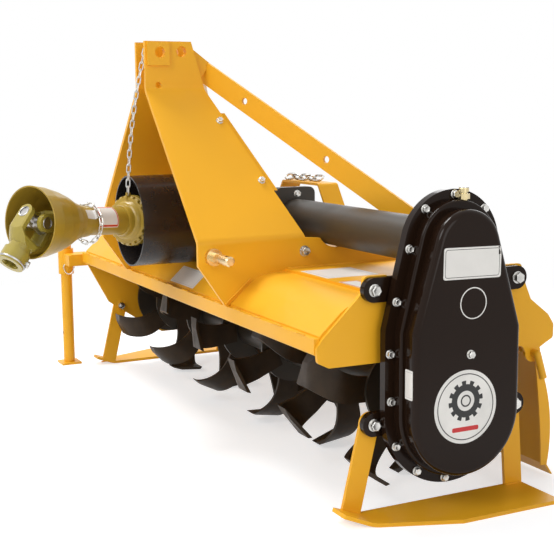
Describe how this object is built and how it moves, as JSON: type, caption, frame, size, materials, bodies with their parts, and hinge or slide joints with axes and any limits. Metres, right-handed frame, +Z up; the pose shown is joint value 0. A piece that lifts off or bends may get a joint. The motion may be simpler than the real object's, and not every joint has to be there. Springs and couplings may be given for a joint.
{
  "type": "rotary tiller",
  "caption": "Three-point rotary tiller: hooded tined rotor driven through a side gear case, with mast, skid shoes, tailgate, parking stand and guarded drive shaft.",
  "frame": {"origin": "on the ground, under the middle of the object's bounding box", "axes": "+X to the side gear case, called right as seen from the tractor, -Y towards the tractor, +Z up"},
  "size_m": [1.77, 1.0597, 0.962],
  "materials": {
    "yellow_paint": "gloss powder coat, yellow-orange",
    "black_paint": "gloss black enamel",
    "black_plastic": "moulded, slight sheen",
    "tine_steel": "dark dipped paint over forged steel",
    "guard_plastic": "moulded mustard plastic, satin",
    "yoke_paint": "olive yellow dichromate",
    "bare_steel": "machined",
    "zinc": "zinc plated",
    "brass_fitting": "turned brass"
  },
  "bodies": {
    "root": {"hood_shell": "yellow_paint", "hood_deck": "yellow_paint", "hood_front_bar": "yellow_paint", "side_plate_right": "yellow_paint", "side_plate_left": "yellow_paint", "mast_plate_right": "yellow_paint", "mast_plate_left": "yellow_paint", "mast_channel": "yellow_paint", "brace_right": "yellow_paint", "brace_left": "yellow_paint", "brace_lug_right": "yellow_paint", "brace_lug_left": "yellow_paint", "lower_pin_right": "zinc", "lower_pin_left": "zinc", "chain_bracket": "yellow_paint", "gearbox_case": "black_paint", "drive_tube": "black_paint", "gear_case_housing": "black_paint", "gear_case_cover": "black_paint", "gear_case_breather": "brass_fitting", "pto_shield": "black_plastic", "skid_right": "yellow_paint", "skid_left": "yellow_paint", "rotor_bearing": "black_paint", "stand_sleeve": "yellow_paint", "tailgate_rod": "yellow_paint", "guard_bell": "guard_plastic", "guard_tube": "guard_plastic", "guard_collar": "guard_plastic", "guard_chain": "zinc", "guard_loop": "zinc", "gate_chain": "zinc"},
    "rotor": {"rotor_shaft": "black_paint", "tines_1": "tine_steel", "tines_2": "tine_steel", "tines_3": "tine_steel", "tines_4": "tine_steel", "tines_5": "tine_steel", "tines_6": "tine_steel"},
    "tailgate": {"tailgate_panel": "yellow_paint", "tailgate_knuckles": "yellow_paint"},
    "stand": {"stand_leg": "yellow_paint", "stand_foot": "yellow_paint"},
    "input": {"input_yoke": "yoke_paint"},
    "driveline": {"drive_shaft": "bare_steel", "shaft_yoke_inner": "yoke_paint", "shaft_yoke_outer": "yoke_paint"},
    "cross": {"joint_cross": "bare_steel"},
    "coupler": {"coupler_yoke": "yoke_paint"}
  },
  "joints": [
    {"name": "rotor_spin", "type": "hinge", "parent": "root", "child": "rotor", "pos_m": [0, 0.221, 0.208], "axis": [1, 0, 0], "continuous": true},
    {"name": "input_spin", "type": "hinge", "parent": "root", "child": "input", "pos_m": [0, -0.109, 0.532], "axis": [0, -1, 0], "continuous": true},
    {"name": "driveline_spin", "type": "hinge", "parent": "root", "child": "driveline", "pos_m": [0, -0.109, 0.532], "axis": [0.4683, -0.8808, 0.0698], "continuous": true},
    {"name": "cross_tilt", "type": "hinge", "parent": "driveline", "child": "cross", "pos_m": [0.17562, -0.4393, 0.55816], "axis": [-0.8829, -0.4695, 0], "range_deg": [0, 104]},
    {"name": "coupler_swing", "type": "hinge", "parent": "cross", "child": "coupler", "pos_m": [0.17562, -0.4393, 0.55816], "axis": [0.3489, -0.6562, 0.6691], "range_deg": [-25, 25]},
    {"name": "tailgate_lift", "type": "hinge", "parent": "root", "child": "tailgate", "pos_m": [0, 0.456, 0.287], "axis": [1, 0, 0], "range_deg": [0, 75]},
    {"name": "stand_slide", "type": "slide", "parent": "root", "child": "stand", "axis": [0, 0, 1], "range_m": [0, 0.25]}
  ],
  "couplings": [
    {"joint": "input_spin", "follows": "rotor_spin", "ratio": 2.5},
    {"joint": "driveline_spin", "follows": "rotor_spin", "ratio": 2.5}
  ]
}
